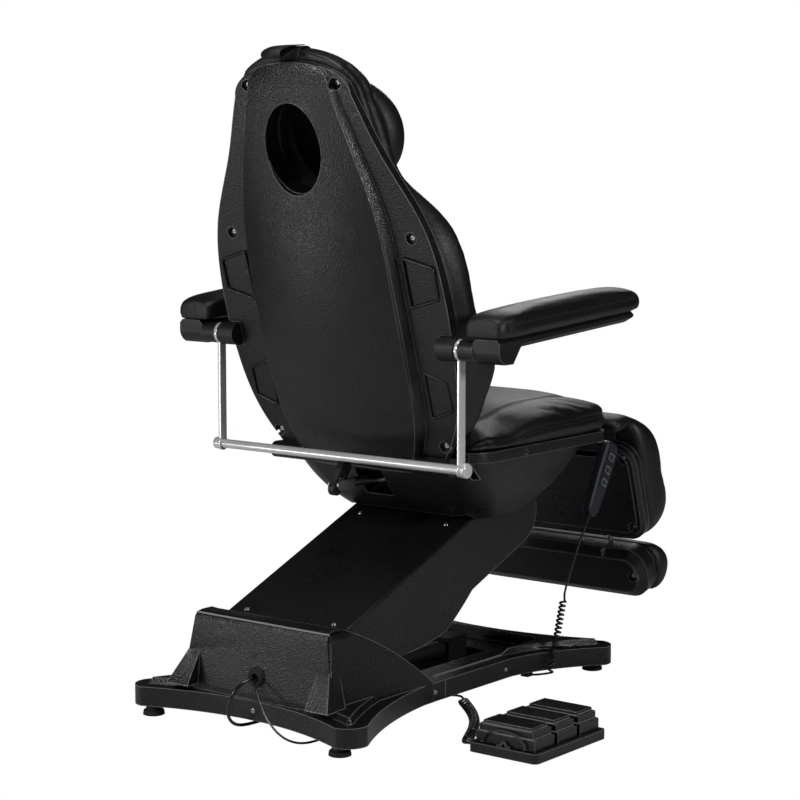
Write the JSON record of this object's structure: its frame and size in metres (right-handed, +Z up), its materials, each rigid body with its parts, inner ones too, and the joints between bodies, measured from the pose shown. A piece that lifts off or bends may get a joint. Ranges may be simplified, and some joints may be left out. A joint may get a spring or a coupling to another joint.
{
  "type": "electric treatment chair",
  "caption": "Reclining treatment chair with a lifting arm, padded back, seat, armrests, leg and foot rests, a roll holder, a handset and a foot control on cords.",
  "frame": {"origin": "on the floor, under the middle of the chair's width and whole length at rest, with its cords and the foot control on the end of one of them left out", "axes": "+Z up, -Y the way the sitter faces, +X to the sitter's left"},
  "size_m": [1.0683, 1.2808, 1.4194],
  "materials": {
    "moulded_cover": "black moulded plastic with a fine pebble grain",
    "armrest_cover": "black moulded plastic, satin",
    "upholstery": "black satin upholstery leather",
    "strap": "black woven webbing",
    "steel_frame": "black powder coat",
    "bright_steel": "ground bright steel",
    "screws": "bright zinc plate",
    "chrome": "polished chrome plate",
    "motor_housing": "dark housing, matt",
    "rubber": "black rubber, matt",
    "cord": "black flexible sheath, satin",
    "plug": "black moulded plug with plain blades",
    "handset": "blue-black satin plastic",
    "handset_keys": "blue-black keys with a pale outline",
    "pedal_tray": "black moulded plastic",
    "pedals": "black moulded plastic with grip ribs"
  },
  "bodies": {
    "base": {"base_frame": "steel_frame", "base_feet": "rubber", "base_rear_cover": "moulded_cover", "base_front_cover": "moulded_cover", "base_screws": "screws", "cable_glands": "rubber", "control_box": "motor_housing", "arm_pivot_pins": "bright_steel", "lift_motor": "motor_housing", "pedal_tray": "pedal_tray", "mains_lead": "cord", "mains_coil": "cord", "mains_plug": "plug", "pedal_lead": "cord", "pedal_curl": "cord", "handset_lead": "cord", "handset_curl": "cord"},
    "lift_arm": {"arm_frame": "steel_frame", "arm_cover": "moulded_cover", "arm_screws": "screws"},
    "lower_links": {"lower_links": "steel_frame"},
    "lift_rod": {"lift_rod": "bright_steel"},
    "seat": {"seat_frame": "steel_frame", "seat_pins": "bright_steel", "seat_shell": "moulded_cover", "seat_lower_cover": "moulded_cover", "seat_cushion": "upholstery", "back_motor": "motor_housing", "leg_motor": "motor_housing", "handset_case": "handset", "handset_hook": "chrome"},
    "back": {"back_frame": "steel_frame", "back_shell": "moulded_cover", "back_cushion": "upholstery", "head_pillow": "upholstery", "pillow_strap": "strap", "back_screws": "screws"},
    "back_rod": {"back_rod": "bright_steel"},
    "leg_rod": {"leg_rod": "bright_steel"},
    "legrest": {"legrest_frame": "steel_frame", "legrest_shell": "moulded_cover", "legrest_cushion": "upholstery", "legrest_screws": "screws"},
    "footrest": {"footrest_shell": "moulded_cover", "footrest_cushion": "upholstery", "footrest_rods": "bright_steel", "footrest_screws": "screws"},
    "armrest_left": {"armrest_left_pad": "upholstery", "armrest_left_cover": "armrest_cover"},
    "armrest_right": {"armrest_right_pad": "upholstery", "armrest_right_cover": "armrest_cover"},
    "roll_holder": {"roll_arm_left": "chrome", "roll_arm_right": "chrome"},
    "roll_bar": {"roll_bar": "chrome"},
    "key_upper": {"key_upper": "handset_keys"},
    "key_middle": {"key_middle": "handset_keys"},
    "key_lower": {"key_lower": "handset_keys"},
    "pedal_front": {"pedal_front": "pedals"},
    "pedal_middle": {"pedal_middle": "pedals"},
    "pedal_rear": {"pedal_rear": "pedals"}
  },
  "joints": [
    {"name": "lift", "type": "hinge", "parent": "base", "child": "lift_arm", "pos_m": [0, 0.4804, 0.13], "axis": [-1, 0, 0], "range_deg": [0, 27], "deforming": ["handset_curl", "handset_lead"]},
    {"name": "lower_links_swing", "type": "hinge", "parent": "base", "child": "lower_links", "pos_m": [0, 0.4804, 0.085], "axis": [-1, 0, 0], "range_deg": [-1, 28]},
    {"name": "lift_rod_slide", "type": "slide", "parent": "base", "child": "lift_rod", "axis": [0, -1, 0], "range_m": [-0.001, 0.03557]},
    {"name": "seat_level", "type": "hinge", "parent": "lift_arm", "child": "seat", "pos_m": [0, -0.13945, 0.38169], "axis": [-1, 0, 0], "range_deg": [-28, 1]},
    {"name": "recline", "type": "hinge", "parent": "seat", "child": "back", "pos_m": [0, 0.2224, 0.535], "axis": [1, 0, 0], "range_deg": [-72, 0]},
    {"name": "back_rod_slide", "type": "slide", "parent": "seat", "child": "back_rod", "axis": [0, -1, 0], "range_m": [-0.001, 0.08528]},
    {"name": "leg_raise", "type": "hinge", "parent": "seat", "child": "legrest", "pos_m": [0, -0.4526, 0.523], "axis": [-1, 0, 0], "range_deg": [0, 70]},
    {"name": "leg_rod_slide", "type": "slide", "parent": "seat", "child": "leg_rod", "axis": [0, -1, 0], "range_m": [-0.001, 0.08222]},
    {"name": "footrest_extend", "type": "slide", "parent": "legrest", "child": "footrest", "axis": [0, -0.2857, -0.9583], "range_m": [0, 0.14]},
    {"name": "armrest_left_fold", "type": "hinge", "parent": "back", "child": "armrest_left", "pos_m": [0.4, 0.3054, 0.799], "axis": [-1, 0, 0], "range_deg": [0, 95]},
    {"name": "armrest_right_fold", "type": "hinge", "parent": "back", "child": "armrest_right", "pos_m": [-0.4, 0.3054, 0.799], "axis": [-1, 0, 0], "range_deg": [0, 95]},
    {"name": "roll_holder_swing", "type": "hinge", "parent": "back", "child": "roll_holder", "pos_m": [0, 0.3054, 0.799], "axis": [1, 0, 0], "range_deg": [0, 75]},
    {"name": "roll_spin", "type": "hinge", "parent": "roll_holder", "child": "roll_bar", "pos_m": [0, 0.3054, 0.549], "axis": [1, 0, 0], "continuous": true},
    {"name": "key_upper_press", "type": "hinge", "parent": "seat", "child": "key_upper", "pos_m": [-0.302, -0.3156, 0.50182], "axis": [0, 0.866, 0.5], "range_deg": [-4, 4], "stiffness_Nm_per_rad": 0.6},
    {"name": "key_middle_press", "type": "hinge", "parent": "seat", "child": "key_middle", "pos_m": [-0.302, -0.3001, 0.47498], "axis": [0, 0.866, 0.5], "range_deg": [-4, 4], "stiffness_Nm_per_rad": 0.6},
    {"name": "key_lower_press", "type": "hinge", "parent": "seat", "child": "key_lower", "pos_m": [-0.302, -0.2846, 0.44813], "axis": [0, 0.866, 0.5], "range_deg": [-4, 4], "stiffness_Nm_per_rad": 0.6},
    {"name": "pedal_front_press", "type": "hinge", "parent": "base", "child": "pedal_front", "pos_m": [-0.528, 0.2194, 0.024], "axis": [0, 1, 0], "range_deg": [-6, 6], "stiffness_Nm_per_rad": 12},
    {"name": "pedal_middle_press", "type": "hinge", "parent": "base", "child": "pedal_middle", "pos_m": [-0.528, 0.3004, 0.024], "axis": [0, 1, 0], "range_deg": [-6, 6], "stiffness_Nm_per_rad": 12},
    {"name": "pedal_rear_press", "type": "hinge", "parent": "base", "child": "pedal_rear", "pos_m": [-0.528, 0.3814, 0.024], "axis": [0, 1, 0], "range_deg": [-6, 6], "stiffness_Nm_per_rad": 12}
  ],
  "couplings": [
    {"joint": "lower_links_swing", "follows": "lift", "ratio": 1},
    {"joint": "seat_level", "follows": "lift", "ratio": -1},
    {"joint": "lift_rod_slide", "follows": "lift", "m_per_rad": 0.073363},
    {"joint": "back_rod_slide", "follows": "recline", "m_per_rad": -0.067067},
    {"joint": "leg_rod_slide", "follows": "leg_raise", "m_per_rad": 0.066483}
  ]
}
